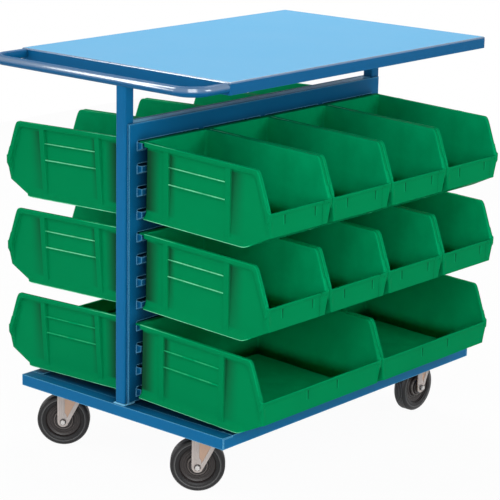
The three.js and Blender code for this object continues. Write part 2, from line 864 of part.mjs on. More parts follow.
function buildCasters() {
  for (const [face, side] of [['front', -1], ['back', 1]]) {
    const across = side * casterAcross;
    const pivot = -deckEnd + swivelSetback;
    place(`swivel_plate_${face}`, swivelPlate(), zinc).position.set(pivot, across, 0);
    place(`ball_race_${face}`, ballRace(), zinc).position.set(pivot, across, 0);
    const trailAlong = casterTrail * Math.cos(casterTurn);
    const trailAcross = casterTrail * Math.sin(casterTurn);
    const swivel = casterGroup(pivot - trailAlong, across - trailAcross, casterTurn);
    place(`swivel_fork_${face}`, swivelFork(), zinc, swivel);
    buildWheel(`swivel_${face}`, swivel);
    const fixed = casterGroup(deckEnd - farAxleSetback, across, 0);
    place(`fixed_fork_${face}`, fixedFork(), zinc, fixed);
    buildWheel(`fixed_${face}`, fixed);
  }
}

buildDeck();
buildUpright();
buildTable();
buildBins();
buildCasters();

export default cart;
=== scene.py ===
import json
import math
import random

import bmesh
import bpy
from mathutils import Matrix, Vector

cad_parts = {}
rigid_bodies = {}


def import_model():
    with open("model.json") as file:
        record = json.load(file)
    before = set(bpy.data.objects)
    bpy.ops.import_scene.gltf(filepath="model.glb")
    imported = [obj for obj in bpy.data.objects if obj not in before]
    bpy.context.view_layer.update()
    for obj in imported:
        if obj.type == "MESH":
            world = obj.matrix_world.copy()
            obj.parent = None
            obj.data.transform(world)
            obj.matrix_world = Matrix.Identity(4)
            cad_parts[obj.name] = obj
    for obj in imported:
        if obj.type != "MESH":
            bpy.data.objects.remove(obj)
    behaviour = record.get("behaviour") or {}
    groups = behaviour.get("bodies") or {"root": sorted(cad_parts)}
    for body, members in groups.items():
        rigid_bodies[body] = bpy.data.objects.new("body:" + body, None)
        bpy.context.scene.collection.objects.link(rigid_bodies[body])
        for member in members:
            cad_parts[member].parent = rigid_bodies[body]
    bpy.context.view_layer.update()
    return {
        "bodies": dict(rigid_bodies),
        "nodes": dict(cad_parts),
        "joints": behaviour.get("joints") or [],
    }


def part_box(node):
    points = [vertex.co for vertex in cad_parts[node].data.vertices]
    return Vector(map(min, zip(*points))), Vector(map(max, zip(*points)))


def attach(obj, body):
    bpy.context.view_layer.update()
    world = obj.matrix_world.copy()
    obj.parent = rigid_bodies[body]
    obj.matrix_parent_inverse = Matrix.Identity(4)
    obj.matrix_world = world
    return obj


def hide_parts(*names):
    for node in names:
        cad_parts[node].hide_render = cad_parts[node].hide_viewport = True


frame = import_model()

MM = 0.001
SMOOTH_ANGLE = math.radians(40)
SIDES = (("front", -1), ("back", 1))
ends_random = random.Random(7)

# Camera, at the photograph's viewing angle
CAMERA_PLACE = (-3.35087, -2.88528, 1.61959)
CAMERA_AIM = (0.7341615, 0.6280265, -0.2580496)
CAMERA_UP = (0.1835374, 0.18234512, 0.96595252)
CAMERA_LENS = 140.75
CAMERA_SHIFT = (0.00535, 0.00679)

# Hopper bin, in millimetres from the top of its back wall
BIN_HEIGHT = 173
BIN_TOP_LENGTH = 322
BIN_LIP_REACH = 356
BIN_LIP_DROP = 86.4
BIN_NOSE_REACH = 358
BIN_NOSE_DROP = 137.5
BIN_FLOOR_LENGTH = 292
BIN_WALL = 2.6
BIN_FLOOR = 4
BIN_RIM_PROUD = 7
BIN_DRAFT = 3
BIN_TILT = math.radians(2)
BIN_BACK_RADIUS = 8
BIN_FRONT_RADIUS = 3
BIN_FLOOR_RADIUS = 7
BIN_BEAD = 3
BIN_BEAD_HEIGHT = 6
BIN_RIM_HEIGHT = 11
BIN_RIB_WIDTH = 14
BIN_RIB_PLACES = (64.5, 240)
BIN_RIB_EDGE = 1.5
BIN_LEVEL_RIBS = (44, 82)
BIN_LEVEL_RIB_PROUD = 3.4
# Level rib profile: drop, share of the proud height, and painted highlight along its upper edge
BIN_LEVEL_RIB = ((3.2, 0, 0.0), (2.2, 0.8, 0.0), (1.4, 1, 0.0), (0, 1, 0.0), (-0.4, 0.97, 1.0), (-1.4, 0.4, 1.0),
                 (-1.9, 0, 0.0))
BIN_LABEL_WIDTH = 103
BIN_LABEL_DEPTH = 1.6
# Painted light inside the narrow and the wide bins
BIN_INSIDE_PAINTED_LIGHT = 0.3
BIN_WIDE_INSIDE_PAINTED_LIGHT = 0.05
HANGER_STEEL = 3.5
HANGER_DEPTH = 12
HANGER_BACK = 11.85
HOOK_SHARE = 0.58
BIN_PITCH = 209.6


# Shader values


class Wire:
    """A node's output; arithmetic on it adds Math nodes to its finish"""

    def __init__(self, finish, socket):
        self.finish = finish
        self.socket = socket

    def math(self, operation, *values):
        return self.finish.node("Math", {"operation": operation}, dict(enumerate(values)))

    def __add__(self, other):
        return self.math("ADD", self, other)

    def __radd__(self, other):
        return self.math("ADD", other, self)

    def __sub__(self, other):
        return self.math("SUBTRACT", self, other)

    def __rsub__(self, other):
        return self.math("SUBTRACT", other, self)

    def __mul__(self, other):
        return self.math("MULTIPLY", self, other)

    def between(self, low, high):
        """0 below the low value, 1 above the high one"""
        settings = {"clamp": True}
        return self.finish.node("MapRange", settings, {0: self, 1: low, 2: high})


class Finish:
    """A material that is made node by node"""

    def __init__(self, name):
        self.material = bpy.data.materials.new(name)
        self.material.use_nodes = True
        self.tree = self.material.node_tree
        self.tree.nodes.clear()

    def node(self, kind, settings=None, values=None, output=0):
        made = self.tree.nodes.new("ShaderNode" + kind)
        for key, value in (settings or {}).items():
            setattr(made, key, value)
        for key, value in (values or {}).items():
            if isinstance(value, Wire):
                self.tree.links.new(value.socket, made.inputs[key])
            else:
                made.inputs[key].default_value = value
        return Wire(self, made.outputs[output]) if made.outputs else None

    def place(self):
        return self.node("TexCoord", output=3)

    def painted_light_tint_and_gloss(self):
        """What the mesh code gave a spot: painted light, tint and coat up to 1, painted shade down to -1"""
        return self.node("Attribute", {"attribute_name": "painted_light_tint_and_gloss"}, output=2)

    def noise(self, scale, detail=2.0, stretch=(1, 1, 1)):
        spot = self.node("Mapping", values={0: self.place(), 3: stretch})
        return self.node("TexNoise", values={"Vector": spot, "Scale": scale, "Detail": detail})

    def mix(self, share, first, second):
        return self.node("Mix", {"data_type": "RGBA"}, {0: share, 6: first, 7: second}, output=2)

    def bump(self, height, strength, depth):
        return self.node("Bump", values={"Height": height, "Strength": strength, "Distance": depth})

    def edges(self, radius, low=0.02, high=0.2):
        """1 on the edges of a piece, 0 on its flats"""
        rounded = self.node("Bevel", {"samples": 6}, {"Radius": radius})
        flat = self.node("NewGeometry", output=1)
        agreement = self.node("VectorMath", {"operation": "DOT_PRODUCT"}, {0: rounded, 1: flat}, output=1)
        return (1 - agreement).between(low, high)

    def painted_corner_shade(self, distance, low, high):
        """1 in narrow gaps and corners, where the painted shade goes"""
        open_share = self.node("AmbientOcclusion", {"samples": 6}, {"Distance": distance}, output=1)
        return (1 - open_share).between(low, high)

    def surface(self, values):
        shader = self.node("BsdfPrincipled", values=values)
        self.node("OutputMaterial", values={"Surface": shader})
        return self.material


def colour(red, green, blue):
    return (red, green, blue, 1)


def powder_coat(name, paint, painted_light_colour, peeled, painted_edge_highlight, gloss):
    """Baked paint on sheet steel: fine orange peel, painted edge highlights, and painted light where the mark is 1

    The painted light and the painted shade in gaps and corners follow the photo's tones"""
    finish = Finish(name)
    cloud = finish.noise(5.0, 3.0)
    peel = finish.noise(900.0, 2.0)
    painted_light_and_coat_mask = finish.painted_light_tint_and_gloss()
    # Share of the painted light colour: painted light on the table top and rail tops, a painted highlight on weld
    # beads
    level = painted_light_and_coat_mask.between(0.86, 1.0)
    dull = finish.mix(0.14 - cloud * 0.14, paint, colour(0, 0, 0))
    # Painted shade in narrow gaps and corners
    deep = finish.mix(finish.painted_corner_shade(0.08, 0.2, 0.6) * 0.8, dull, colour(0.001, 0.02, 0.05))
    top = finish.mix(level, deep, painted_light_colour)
    # Painted highlight along the edges
    edge = finish.edges(0.004)
    return finish.surface({
        "Base Color": finish.mix(edge * painted_edge_highlight, top, colour(0.2, 0.6, 0.9)),
        "Roughness": 0.36 + cloud * 0.08 + peel * 0.05,
        "Normal": finish.bump(peel, peeled, 0.0004),
        "Specular IOR Level": 0.1,
        "Coat Weight": (painted_light_and_coat_mask * 1.19 - level * 0.98) * gloss,
        "Coat Roughness": 0.12,
        "Coat IOR": 2.2,
    })


def moulded_green():
    """Polypropylene with a faint moulded grain, painted highlight lines, painted light inside and painted shade"""
    finish = Finish("moulded_green")
    cloud = finish.noise(7.0, 4.0)
    grain = finish.noise(700.0, 3.0)
    flow = finish.noise(16.0, 2.0, (1, 0.2, 1))
    body = finish.mix(cloud, colour(0.0, 0.265, 0.089), colour(0.0, 0.31, 0.106))
    streaked = finish.mix(flow * 0.3, body, colour(0.0, 0.23, 0.076))
    # Painted highlight lines and painted light inside, where the mark is above 0
    patchy = finish.noise(24.0, 2.0).between(0.3, 0.6)
    light = finish.painted_light_tint_and_gloss().between(0, 1) * (0.6 + patchy * 0.4)
    # Painted shade where the mark is below 0, and in narrow gaps and corners
    painted_shade = (0 - finish.painted_light_tint_and_gloss()).between(0, 1)
    painted_corner_shade = finish.mix(finish.painted_corner_shade(0.03, 0.35, 0.9) * 0.5, streaked, colour(0.0, 0.06, 0.02))
    deep = finish.mix(painted_shade, painted_corner_shade, colour(0.01, 0.05, 0.025))
    painted_light_tone = finish.mix(light.between(0.35, 0.8), colour(0.0, 0.8, 0.32), colour(0.3, 0.98, 0.6))
    return finish.surface({
        "Base Color": finish.mix(light, deep, painted_light_tone),
        "Roughness": 0.46 + cloud * 0.08 + grain * 0.08,
        "Normal": finish.bump(grain, 0.16, 0.0004),
        "Specular IOR Level": 0.015,
    })


def tyre_rubber():
    finish = Finish("tyre_rubber")
    cloud = finish.noise(30.0, 4.0)
    grain = finish.noise(1500.0, 2.0)
    dust = finish.mix(cloud, colour(0.014, 0.014, 0.015), colour(0.03, 0.029, 0.03))
    return finish.surface({
        # Painted highlight where the mark is above 0
        "Base Color": finish.mix(finish.painted_light_tint_and_gloss(), dust, colour(0.4, 0.4, 0.4)),
        "Roughness": 0.3 + cloud * 0.16,
        "Specular IOR Level": 0.25,
        "Normal": finish.bump(grain, 0.25, 0.0003),
    })


def wheel_plastic():
    finish = Finish("wheel_plastic")
    cloud = finish.noise(40.0, 3.0)
    grain = finish.noise(1200.0, 2.0)
    dark = finish.mix(cloud, colour(0.011, 0.008, 0.008), colour(0.034, 0.026, 0.025))
    return finish.surface({
        "Base Color": finish.mix(finish.painted_light_tint_and_gloss(), dark, colour(0.16, 0.14, 0.13)),
        "Roughness": 0.34 + cloud * 0.15,
        "Normal": finish.bump(grain, 0.2, 0.0002),
    })


def zinc_plate(name, dark, light, metallic):
    """Zinc on pressed steel, with faint drawing lines, a warm tint, and painted shade where the mark is below 0"""
    finish = Finish(name)
    cloud = finish.noise(60.0, 4.0)
    lines = finish.noise(220.0, 2.0, (6, 6, 0.5))
    tone = finish.mix(cloud, dark, light)
    warm = finish.mix(finish.painted_light_tint_and_gloss().between(0, 1) * 0.7, tone, colour(0.62, 0.36, 0.22))
    return finish.surface({
        # Painted shade where the mark is below 0
        "Base Color": finish.mix((0 - finish.painted_light_tint_and_gloss()).between(0, 1), warm, colour(0.03, 0.025, 0.025)),
        "Metallic": metallic,
        "Roughness": 0.36 + lines * 0.16,
        "Normal": finish.bump(lines, 0.08, 0.0002),
    })


def floor_white():
    """A plain pale floor that shows white to the camera and keeps the shadow"""
    finish = Finish("floor_white")
    speck = finish.noise(3.0, 2.0)
    tone = finish.mix(speck, colour(0.93, 0.93, 0.93), colour(0.95, 0.95, 0.95))
    plain = finish.node("BsdfDiffuse", values={"Color": tone})
    glow = finish.node("Emission", values={"Color": colour(1, 1, 1), "Strength": 1.0})
    path = finish.node("LightPath")
    seen = Wire(finish, path.socket.node.outputs["Is Camera Ray"])
    glossy = Wire(finish, path.socket.node.outputs["Is Glossy Ray"])
    through = Wire(finish, path.socket.node.outputs["Is Transmission Ray"])
    share = (seen + glossy + through) * FLOOR_GLOW
    finish.node("OutputMaterial", values={"Surface": finish.node("MixShader", values={0: share, 1: plain, 2: glow})})
    return finish.material


# Mesh making


class Shape:
    """Vertices and faces of one piece, in metres"""

    def __init__(self):
        self.vertices = []
        # Per point: painted light above 0 and painted shade below 0; on some parts a tint, on others a coat mask
        self.painted_light_tint_and_gloss = []
        self.faces = []

    def add(self, vertices, faces, painted_light_tint_and_gloss=None):
        start = len(self.vertices)
        self.vertices += [Vector(point) for point in vertices]
        self.painted_light_tint_and_gloss += painted_light_tint_and_gloss or [0.0] * len(vertices)
        self.faces += [[start + index for index in face] for face in faces]
        return self

    def skin(self, rings, capped=True, joined=False, painted_light_tint_and_gloss=None):
        """A skin over closed rings of points, capped at both ends or joined end to end"""
        count = len(rings[0])
        faces = []
        pairs = [(ring, ring + 1) for ring in range(len(rings) - 1)]
        if joined:
            pairs.append((len(rings) - 1, 0))
        for near, far in pairs:
            for index in range(count):
                after = (index + 1) % count
                faces.append([near * count + index, near * count + after, far * count + after, far * count + index])
        if capped and not joined:
            faces.append(list(range(count)))
            faces.append([(len(rings) - 1) * count + index for index in range(count)])
        return self.add([point for ring in rings for point in ring], faces, painted_light_tint_and_gloss)

    def moved(self, matrix):
        self.vertices = [matrix @ point for point in self.vertices]
        return self

    def joined_with(self, *others):
        for other in others:
            self.add(other.vertices, other.faces, other.painted_light_tint_and_gloss)
        return self

    def mesh(self, name):
        made = bpy.data.meshes.new(name)
        made.from_pydata([tuple(point) for point in self.vertices], [], self.faces)
        made.attributes.new("painted_light_tint_and_gloss", "FLOAT", "POINT").data.foreach_set("value", self.painted_light_tint_and_gloss)
        work = bmesh.new()
        work.from_mesh(made)
        bmesh.ops.remove_doubles(work, verts=work.verts, dist=1e-7)
        bmesh.ops.dissolve_degenerate(work, edges=work.edges, dist=1e-7)
        bmesh.ops.recalc_face_normals(work, faces=work.faces)
        work.to_mesh(made)
        work.free()
        made.polygons.foreach_set("use_smooth", [True] * len(made.polygons))
        made.set_sharp_from_angle(angle=SMOOTH_ANGLE)
        return made


def arc(centre, radius, start, end, steps):
    """Points of an arc, with angles in degrees"""
    angles = [math.radians(start + (end - start) * step / steps) for step in range(steps + 1)]
    return [(centre[0] + radius * math.cos(angle), centre[1] + radius * math.sin(angle)) for angle in angles]


def rounded_box_outline(width, height, radius, steps=4):
    across, up = width / 2 - radius, height / 2 - radius
    corners = ((across, up, 0), (-across, up, 90), (-across, -up, 180), (across, -up, 270))
    return [point for x, y, turn in corners for point in arc((x, y), radius, turn, turn + 90, steps)]


def lathe(profile, segments=64, painted_light_tint_and_gloss=None):
    """A closed profile of (radius, height) pairs turned round Z; radii of 0 close it on the axis"""
    rings = []
    for segment in range(segments):
        angle = 2 * math.pi * segment / segments
        rings.append([(radius * math.cos(angle), radius * math.sin(angle), height) for radius, height in profile])
    return Shape().skin(rings, joined=True, painted_light_tint_and_gloss=painted_light_tint_and_gloss and painted_light_tint_and_gloss * segments)


def prism(outline, low, high):
    """An outline in X and Y, raised from one height to another"""
    return Shape().skin([[(x, y, low) for x, y in outline], [(x, y, high) for x, y in outline]])


def swept(path, section, ups=None):
    """A section of (across, up) pairs along a path of points, square to it at each point"""
    rings = []
    for index, point in enumerate(path):
        point = Vector(point)
        before = Vector(path[max(index - 1, 0)])
        after = Vector(path[min(index + 1, len(path) - 1)])
        into = (point - before).normalized() if index else (after - point).normalized()
        out = (after - point).normalized() if index < len(path) - 1 else into
        along = (into + out).normalized()
        up = Vector(ups) if ups else Vector((0, 0, 1))
        across = up.cross(along).normalized()
        up = along.cross(across)
        stretch = 1 / max(along.dot(into), 0.5)
        scale = section(index) if callable(section) else section
        rings.append([point + across * u * stretch + up * v for u, v in scale])
    return Shape().skin(rings)


def basis(x_axis, y_axis, z_axis, place=(0, 0, 0)):
    """The matrix that lays a shape's own axes along three directions"""
    matrix = Matrix((x_axis, y_axis, z_axis)).transposed().to_4x4()
    matrix.translation = Vector(place)
    return matrix


ALONG_X = basis((0, 1, 0), (0, 0, 1), (1, 0, 0))


def show(name, mesh, material, body, stands_for=(), matrix=None, rounding=None):
    """Puts a piece in the scene, riding on its body, in the place of the CAD nodes it stands for"""
    if isinstance(mesh, Shape):
        mesh = mesh.mesh(name)
    thing = bpy.data.objects.new(name, mesh)
    bpy.context.scene.collection.objects.link(thing)
    if not mesh.materials:
        mesh.materials.append(material)
    if matrix:
        thing.matrix_world = matrix
    if rounding:
        round_edges(thing, rounding)
    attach(thing, body)
    if stands_for:
        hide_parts(*stands_for)
    return thing


def round_edges(thing, width, segments=2, angle=30):
    bevel = thing.modifiers.new("rounded_edges", "BEVEL")
    bevel.width = width
    bevel.segments = segments
    bevel.limit_method = "ANGLE"
    bevel.angle_limit = math.radians(angle)
    bevel.harden_normals = True


def dress(name, material, rounding=None):
    """Gives a CAD node its finish and its rounded edges"""
    node = frame["nodes"][name]
    node.data.materials.clear()
    node.data.materials.append(material)
    if rounding:
        round_edges(node, rounding)


# Hopper bins


def ramp(value, low, high):
    """0 at the low value and 1 at the high one, held outside them"""
    return min(1.0, max(0.0, (value - low) / (high - low)))


def soft_min(first, second, softness):
    near = max(softness - abs(first - second), 0) / softness
    return min(first, second) - near * near * softness / 4


def bin_top(reach, depth, turn):
    """Height of the line that runs at a depth under the rim, at a reach from the back"""
    slope = BIN_LIP_DROP / (BIN_LIP_REACH - BIN_TOP_LENGTH)
    steep = math.hypot(1, slope) * (1 - turn) + turn
    return soft_min(-depth, -(reach - BIN_TOP_LENGTH) * slope - depth * steep, 16)


def bin_bottom(reach, height):
    """Height of the line that runs at a height over the bin's underside"""
    slope = (BIN_HEIGHT - BIN_NOSE_DROP) / (BIN_NOSE_REACH - BIN_FLOOR_LENGTH)
    rise = (reach - BIN_FLOOR_LENGTH) * slope + height * math.hypot(1, slope)
    return -BIN_HEIGHT - soft_min(-height, -rise, 5)


class Column:
    """One upright line of a bin's skin: its point on the wall, on the rim, and its way out"""

    def __init__(self, wall, rim, out, turn=0.0, rib=0.0, between=False, label=0.0, painted_glint=0.0, painted_shade=0.0):
        self.wall = Vector(wall)
        self.rim = Vector(rim)
        self.out = Vector(out)
        self.turn = turn
        self.rib = rib
        self.between = between
        self.label = label
        self.painted_glint = painted_glint
        self.painted_shade = painted_shade


def lip_columns(half):
    edge = BIN_LABEL_WIDTH / 2
    # Label edge: a groove with painted shade in it and a painted glint beside it
    places = [(0, 1, 0, 0), (edge - 8, 1, 0, 0), (edge - 3, 1, 0, 0.1), (edge - 2, 0, 0, 0.8), (edge + 1, 0, 0, 0.8),
              (edge + 2, 1, 0.7, 0), (edge + 4.5, 1, 1, 0), (edge + 5.5, 1, 0, 0)]
    if half - BIN_FRONT_RADIUS > edge + 30:
        places += [(edge + 25, 1, 0, 0), (half - BIN_FRONT_RADIUS - 20, 1, 0, 0)]
    places.append((half - BIN_FRONT_RADIUS - 8, 1, 0, 0))
    columns = []
    for x, label, painted_glint, painted_shade in places:
        rim = (x, BIN_LIP_REACH + BIN_BEAD)
        columns.append(Column((x, BIN_LIP_REACH), rim, (0, 1), 1, label=label, painted_glint=painted_glint, painted_shade=painted_shade))
    return columns


def front_corner_columns(half):
    centre = (half - BIN_FRONT_RADIUS, BIN_LIP_REACH - BIN_FRONT_RADIUS)
    columns = []
    rim_half, front = half + BIN_RIM_PROUD, BIN_LIP_REACH + BIN_BEAD
    rims = [(centre[0], front), (half - 2, front), (half + 2, front), (rim_half - 2, front - 0.3),
            (rim_half - 0.5, front - 1.6), (rim_half, front - 4.5), (rim_half, centre[1])]
    steps = len(rims) - 1
    for step, wall in enumerate(arc(centre, BIN_FRONT_RADIUS, 90, 0, steps)):
        out = (Vector(wall) - Vector(centre)).normalized()
        columns.append(Column(wall, rims[step], out, 1 - step / steps, label=1))
    return columns


def painted_rib_shadow(reach):
    """How dark the painted shadow is near the back and in front of each upright rib, after the photo's shading"""
    shades = [ramp(reach, 44, 13) * 0.85]
    for middle, length in zip(BIN_RIB_PLACES, (16, 34)):
        front = middle + BIN_RIB_WIDTH / 2 + 0.5
        if reach > front:
            shades.append(0.75 * ramp(reach, front + length, front + 3))
    return max(shades)


def side_columns(half, rim_half):
    places = {}
    for reach in (352.4, 350, 347.4, 346.4, 345.4, 344.4, 340, 336, 332, 328, 324, 320, 316, 311, 305, 301, 298, 295,
                  292, 286, 276, 262, 200, 160, 120, 90, 44, 34,
                  24, 13):
        places[reach] = 0.0
    for middle in BIN_RIB_PLACES:
        for offset, amount in ((0.5, 1), (-0.5, 1), (0.42, 1), (-0.42, 1)):
            places[middle + offset * BIN_RIB_WIDTH] = amount
        for side in (-1, 1):
            places[middle + side * (BIN_RIB_WIDTH / 2 + BIN_RIB_EDGE)] = 0.0
            places[middle + side * (BIN_RIB_WIDTH / 2 + 0.35 * BIN_RIB_EDGE)] = 0.72
            places[middle + side * (BIN_RIB_WIDTH / 2 + 2.4 * BIN_RIB_EDGE)] = 0.0
    first, second = BIN_RIB_PLACES
    columns = []
    for reach in sorted(places, reverse=True):
        between = first + BIN_RIB_WIDTH / 2 < reach < second - BIN_RIB_WIDTH / 2
        painted_shade = painted_rib_shadow(reach) * (1 - places[reach])
        columns.append(Column((half, reach), (rim_half, reach), (1, 0), 0, places[reach], between, painted_shade=painted_shade))
    return columns


def back_corner_columns(half, rim_half):
    radius = BIN_BACK_RADIUS
    centre = Vector((half - radius, radius))
    columns = []
    for wall in arc(centre, radius, 0, -90, 8):
        out = (Vector(wall) - centre).normalized()
        sharpness = 10
        reach_x, reach_y = rim_half - centre.x, radius
        scale = (abs(out.x / reach_x) ** sharpness + abs(out.y / reach_y) ** sharpness) ** (-1 / sharpness)
        # Painted shadow of the post on the back corner
        columns.append(Column(wall, centre + out * scale, out, painted_shade=0.85))
    return columns


def bin_rings(columns):
    """The skin's points, ring by ring, from the foot up over the rim and down to the inner floor"""
    half = max(column.wall.x for column in columns)
    narrow = half < BIN_PITCH / 2
    painted_light_tone = BIN_INSIDE_PAINTED_LIGHT if narrow else BIN_WIDE_INSIDE_PAINTED_LIGHT
    painted_line_highlight = 1.0 if narrow else 0.5

    def spot(column, height, share, sink=0.0, inset=0.0):
        lean = 1 - (-height / BIN_HEIGHT) * BIN_DRAFT / half
        wall = column.wall - column.out * inset
        if inset:
            wall = Vector((min(wall.x, half - inset), min(max(wall.y, inset), BIN_LIP_REACH - inset)))
        wall = Vector((wall.x * lean, wall.y))
        nose = column.turn * (BIN_NOSE_REACH - BIN_LIP_REACH)
        drop = (-height - BIN_LIP_DROP) / (BIN_NOSE_DROP - BIN_LIP_DROP)
        wall.y += nose * drop
        rim = column.rim.copy()
        rim.y += nose * drop
        point = wall.lerp(rim, share) - column.out * sink
        return Vector((point.x, point.y, height)) * MM

    def beside(column, height):
        """What stands out of the wall next to the lip: a flange that tapers down, and the upright ribs"""
        front = ramp(column.wall.y, 344.4, 346.4) * ramp(column.turn, 0.99, 0.82)
        flange = front * ramp(-height, BIN_NOSE_DROP, BIN_LIP_DROP)
        return max(flange, column.rib * (0.92 - 0.72 * (-height / BIN_HEIGHT)))

    def foot(height, share, painted_light_tint_and_gloss=0.0):
        def line(column):
            level = bin_bottom(column.wall.y, height)
            part = share * ramp(column.wall.y, 301, 293)
            # Painted highlight along the foot's lower edges, fading out towards the nose
            return spot(column, level, max(part, beside(column, level))), painted_light_tint_and_gloss * ramp(column.wall.y, 312, 288)
        return line

    def band(depth, share, painted_light_tint_and_gloss=0.0):
        def line(column):
            deep = depth * (1 - column.turn * (1 - BIN_BEAD_HEIGHT / BIN_RIM_HEIGHT))
            level = bin_top(column.wall.y, deep, column.turn)
            # Painted highlight on the rim's edges, brighter towards the back
            shine = 0.25 + 0.75 * ramp(column.wall.y, 150, 30)
            return spot(column, level, max(share, beside(column, level))), painted_light_tint_and_gloss * shine
        return line

    def middle(part, proud, sunk, painted_light_tint_and_gloss=0.0):
        def line(column):
            high = bin_top(column.wall.y, 15 * (1 - 0.4 * column.turn), column.turn)
            low = bin_bottom(column.wall.y, 20)
            level = high + (low - high) * part
            share = proud / BIN_RIM_PROUD if column.between else 0
            depth = BIN_LABEL_DEPTH * sunk * column.turn * (1 - column.label)
            # Painted highlight on the level ribs and a painted glint at the label
            shine = painted_light_tint_and_gloss * painted_line_highlight * column.between + 0.16 * column.painted_glint
            # Painted shade beside the ribs and in the label groove, fading lower down
            painted_shade = column.painted_shade * (1 - 0.7 * part * ramp(column.wall.y, 30, 60))
            share = max(share, beside(column, level))
            return spot(column, level, share, sink=depth), max(shine, 0) or -painted_shade
        return line

    # The inner rings carry the painted light inside
    def inside_band(depth, share):
        def line(column):
            level = bin_top(column.wall.y, depth, column.turn)
            inner = spot(column, level, 0, inset=BIN_WALL)
            return inner.lerp(spot(column, level, 0), share), painted_light_tone
        return line

    def inside(part):
        def line(column):
            high = bin_top(column.wall.y, 4, column.turn)
            low = bin_bottom(column.wall.y, BIN_FLOOR + BIN_FLOOR_RADIUS)
            light = painted_light_tone + (BIN_INSIDE_PAINTED_LIGHT - painted_light_tone) * part
            return spot(column, high + (low - high) * part, 0, inset=BIN_WALL), light
        return line

    def inside_foot(angle):
        turn = math.radians(angle)
        height = BIN_FLOOR + BIN_FLOOR_RADIUS * (1 - math.sin(turn))
        inset = BIN_WALL + BIN_FLOOR_RADIUS * (1 - math.cos(turn))

        def line(column):
            return spot(column, bin_bottom(column.wall.y, height), 0, inset=inset), BIN_INSIDE_PAINTED_LIGHT * 0.8
        return line

    span = BIN_HEIGHT - 15 - 20
    lines = [foot(0, 0.6, 0.7), foot(0.5, 0.69, 1.0), foot(1.6, 0.72, 1.0), foot(2.4, 0.72), foot(4.6, 0.66),
             foot(6.5, 0.45), foot(10, 0.2), foot(14.5, 0.05), foot(19, 0)]
    lines.append(middle(0.97, 0, 0.0))
    lines.append(middle(0.95, 0, 1.0))
    for level in reversed(BIN_LEVEL_RIBS):
        for drop, proud, painted_light_tint_and_gloss in BIN_LEVEL_RIB:
            lines.append(middle((level + drop - 15) / span, proud * BIN_LEVEL_RIB_PROUD, 1.0, painted_light_tint_and_gloss))
    lines.append(middle(0.06, 0, 1.0))
    lines.append(middle(0.03, 0, 0.0))
    lines += [band(14, 0), band(12.4, 0.06), band(11.6, 0.3), band(11.1, 0.75), band(10.5, 0.94), band(9.4, 1),
              band(2.0, 1), band(1.1, 0.96, 0.6), band(0.35, 0.87, 1.0), band(0, 0.72, 0.3), band(0, 0.2)]
    lines += [inside_band(0, 0.6), inside_band(0.5, 0.15), inside_band(1.6, 0)]
    lines += [inside(0), inside(0.3), inside(0.7), inside(1)]
    lines += [inside_foot(60), inside_foot(30), inside_foot(0)]
    return [[line(column) for column in columns] for line in lines]


def hopper_bin(rim_half):
    half = rim_half - BIN_RIM_PROUD
    lip = lip_columns(half)
    corner = front_corner_columns(half)
    sides = side_columns(half, rim_half)
    back = back_corner_columns(half, rim_half)
    middle = [Column((0, 0), (0, 0), (0, -1))]
    columns = lip + corner + sides + back + middle
    first, last = len(lip) + len(corner) - 1, len(lip) + len(corner) + len(sides)
    count = len(columns)
    rings = []
    painted_light_tint_and_gloss = []
    for ring in bin_rings(columns):
        points = [point for point, _ in ring]
        values = [value for _, value in ring]
        rings.append(points + [Vector((-point.x, point.y, point.z)) for point in reversed(points[1:-1])])
        painted_light_tint_and_gloss += values + values[-2:0:-1]
    total = len(rings[0])

    def across(index):
        return (total - index) % total

    shape = Shape().skin(rings, capped=False, painted_light_tint_and_gloss=painted_light_tint_and_gloss)
    for start in (0, (len(rings) - 1) * total):
        nose = list(range(first, -1, -1)) + [across(index) for index in range(1, first + 1)]
        tail = list(range(last, count)) + [across(index) for index in range(count - 2, last - 1, -1)]
        shape.faces.append([start + index for index in nose])
        shape.faces.append([start + index for index in tail])
        for index in range(first, last):
            strip = (index, index + 1, across(index + 1), across(index))
            shape.faces.append([start + point for point in strip])
    return shape.joined_with(hanger(rim_half))


def hanger(rim_half):
    """The ledge along the back of the rim, with a hook for each louver under it"""
    inner, steel = -HANGER_BACK, HANGER_STEEL
    ledge = [(BIN_WALL / 2, -steel), (inner + 0.8, -steel), (inner, -steel + 0.8), (inner, -1.2), (inner + 0.5, -0.4),
             (inner + 1.5, -0.05), (BIN_WALL / 2, -0.05)]
    hook = [(inner + steel + 1, -steel + 0.2), (inner + steel, -steel - 0.8), (inner + steel, -HANGER_DEPTH + 0.8),
            (inner + steel - 0.8, -HANGER_DEPTH), (inner + 0.8, -HANGER_DEPTH), (inner, -HANGER_DEPTH + 0.8),
            (inner, -steel + 0.2)]
    columns = round(2 * rim_half / BIN_PITCH)
    shape = hanger_bar(ledge, 0, rim_half - 0.5)
    for column in range(columns):
        middle = (column - (columns - 1) / 2) * BIN_PITCH
        shape.joined_with(hanger_bar(hook, middle, BIN_PITCH * HOOK_SHARE / 2))
    return shape


def hanger_bar(outline, middle, reach):
    points = [(y * MM, z * MM) for y, z in outline]
    return prism(points, (middle - reach) * MM, (middle + reach) * MM).moved(ALONG_X)


